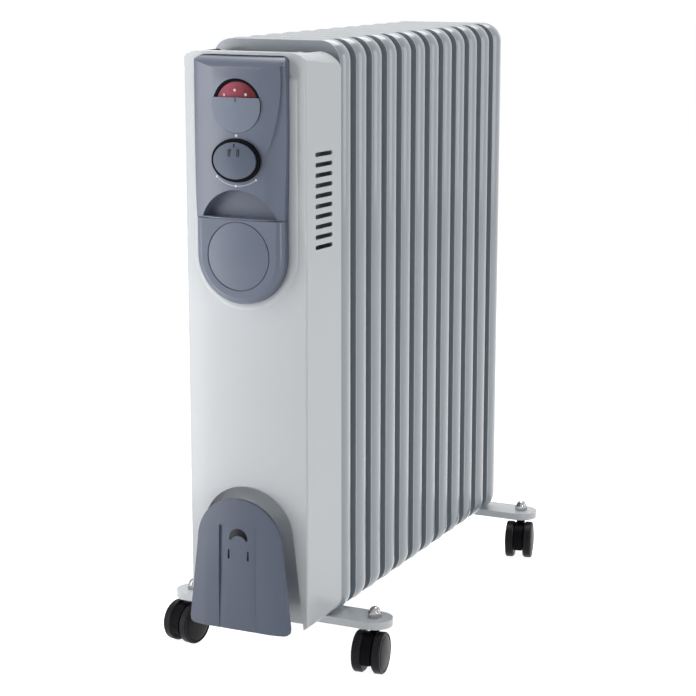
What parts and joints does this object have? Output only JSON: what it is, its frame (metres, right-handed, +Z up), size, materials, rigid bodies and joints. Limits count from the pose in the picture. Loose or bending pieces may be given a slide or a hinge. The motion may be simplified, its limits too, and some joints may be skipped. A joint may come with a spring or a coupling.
{
  "type": "oil filled radiator heater",
  "caption": "Free-standing oil filled radiator heater: a row of pressed steel fins behind a control housing, on twin-wheel castors.",
  "frame": {"origin": "on the floor, in the middle of the heater's bounding box", "axes": "X across the heater, Y from the control end (-Y) to the rear, Z up"},
  "size_m": [0.2624, 0.5539, 0.65],
  "materials": {
    "fin_paint": "satin pale grey stove enamel",
    "housing_paint": "satin white stove enamel",
    "panel_plastic": "satin blue-grey moulding",
    "cord_panel_plastic": "satin darker blue-grey moulding",
    "red_lens": "clear red moulding, shown solid",
    "black_plastic": "satin black moulding",
    "wheel_plastic": "hard black nylon tread",
    "zinc_steel": "bright zinc plate",
    "chrome": "polished plate",
    "pale_plastic": "unpainted moulding"
  },
  "bodies": {
    "radiator": {"fin_01": "fin_paint", "fin_02": "fin_paint", "fin_03": "fin_paint", "fin_04": "fin_paint", "fin_05": "fin_paint", "fin_06": "fin_paint", "fin_07": "fin_paint", "fin_08": "fin_paint", "fin_09": "fin_paint", "fin_10": "fin_paint", "fin_11": "fin_paint", "fin_12": "fin_paint", "front_cover": "housing_paint", "back_plate": "housing_paint", "control_panel": "panel_plastic", "badge_panel": "panel_plastic", "badge_disc": "panel_plastic", "cord_store_panel": "cord_panel_plastic", "cord_gland": "black_plastic", "housing_screws": "zinc_steel", "thermostat_lens": "red_lens", "thermostat_ring": "black_plastic", "thermostat_body": "pale_plastic", "pilot_lamp": "red_lens", "selector_switch": "black_plastic", "heating_element": "zinc_steel", "thermal_cutout": "zinc_steel", "terminal_block": "pale_plastic", "hub_caps": "fin_paint", "oil_filler_plug": "zinc_steel", "foot_bracket_front": "housing_paint", "foot_bracket_rear": "housing_paint", "u_bolt_front": "zinc_steel", "u_bolt_rear": "zinc_steel", "wing_nuts": "zinc_steel", "castor_stems": "zinc_steel", "acorn_nuts": "chrome"},
    "castor_front_left": {"castor_hood_front_left": "black_plastic", "castor_axle_front_left": "zinc_steel"},
    "wheel_front_left_outer": {"wheel_front_left_outer": "wheel_plastic"},
    "wheel_front_left_inner": {"wheel_front_left_inner": "wheel_plastic"},
    "castor_front_right": {"castor_hood_front_right": "black_plastic", "castor_axle_front_right": "zinc_steel"},
    "wheel_front_right_outer": {"wheel_front_right_outer": "wheel_plastic"},
    "wheel_front_right_inner": {"wheel_front_right_inner": "wheel_plastic"},
    "castor_rear_left": {"castor_hood_rear_left": "black_plastic", "castor_axle_rear_left": "zinc_steel"},
    "wheel_rear_left_outer": {"wheel_rear_left_outer": "wheel_plastic"},
    "wheel_rear_left_inner": {"wheel_rear_left_inner": "wheel_plastic"},
    "castor_rear_right": {"castor_hood_rear_right": "black_plastic", "castor_axle_rear_right": "zinc_steel"},
    "wheel_rear_right_outer": {"wheel_rear_right_outer": "wheel_plastic"},
    "wheel_rear_right_inner": {"wheel_rear_right_inner": "wheel_plastic"},
    "thermostat_dial": {"thermostat_knob": "panel_plastic", "thermostat_spindle": "zinc_steel"},
    "selector": {"selector_knob": "panel_plastic", "selector_skirt": "black_plastic", "selector_spindle": "zinc_steel"}
  },
  "joints": [
    {"name": "thermostat_turn", "type": "hinge", "parent": "radiator", "child": "thermostat_dial", "pos_m": [0, -0.2692, 0.589], "axis": [0, 1, 0], "range_deg": [-135, 135]},
    {"name": "selector_turn", "type": "hinge", "parent": "radiator", "child": "selector", "pos_m": [0, -0.2692, 0.536], "axis": [0, 1, 0], "range_deg": [0, 220]},
    {"name": "castor_swivel_front_left", "type": "hinge", "parent": "radiator", "child": "castor_front_left", "pos_m": [-0.108, -0.1778, 0.022], "axis": [0, 0, 1], "continuous": true},
    {"name": "wheel_spin_front_left_outer", "type": "hinge", "parent": "castor_front_left", "child": "wheel_front_left_outer", "pos_m": [-0.1205, -0.1888, 0.022], "axis": [0.9848, -0.1736, 0], "continuous": true},
    {"name": "wheel_spin_front_left_inner", "type": "hinge", "parent": "castor_front_left", "child": "wheel_front_left_inner", "pos_m": [-0.10002, -0.19241, 0.022], "axis": [0.9848, -0.1736, 0], "continuous": true},
    {"name": "castor_swivel_front_right", "type": "hinge", "parent": "radiator", "child": "castor_front_right", "pos_m": [0.108, -0.1778, 0.022], "axis": [0, 0, 1], "continuous": true},
    {"name": "wheel_spin_front_right_outer", "type": "hinge", "parent": "castor_front_right", "child": "wheel_front_right_outer", "pos_m": [0.11991, -0.18944, 0.022], "axis": [0.9925, 0.1219, 0], "continuous": true},
    {"name": "wheel_spin_front_right_inner", "type": "hinge", "parent": "castor_front_right", "child": "wheel_front_right_inner", "pos_m": [0.09926, -0.19197, 0.022], "axis": [0.9925, 0.1219, 0], "continuous": true},
    {"name": "castor_swivel_rear_left", "type": "hinge", "parent": "radiator", "child": "castor_rear_left", "pos_m": [-0.108, 0.2572, 0.022], "axis": [0, 0, 1], "continuous": true},
    {"name": "wheel_spin_rear_left_outer", "type": "hinge", "parent": "castor_rear_left", "child": "wheel_rear_left_outer", "pos_m": [-0.12124, 0.2471, 0.022], "axis": [0.9703, -0.2419, 0], "continuous": true},
    {"name": "wheel_spin_rear_left_inner", "type": "hinge", "parent": "castor_rear_left", "child": "wheel_rear_left_inner", "pos_m": [-0.10105, 0.24207, 0.022], "axis": [0.9703, -0.2419, 0], "continuous": true},
    {"name": "castor_swivel_rear_right", "type": "hinge", "parent": "radiator", "child": "castor_rear_right", "pos_m": [0.108, 0.2572, 0.022], "axis": [0, 0, 1], "continuous": true},
    {"name": "wheel_spin_rear_right_outer", "type": "hinge", "parent": "castor_rear_right", "child": "wheel_rear_right_outer", "pos_m": [0.12124, 0.2471, 0.022], "axis": [0.9703, 0.2419, 0], "continuous": true},
    {"name": "wheel_spin_rear_right_inner", "type": "hinge", "parent": "castor_rear_right", "child": "wheel_rear_right_inner", "pos_m": [0.10105, 0.24207, 0.022], "axis": [0.9703, 0.2419, 0], "continuous": true}
  ]
}
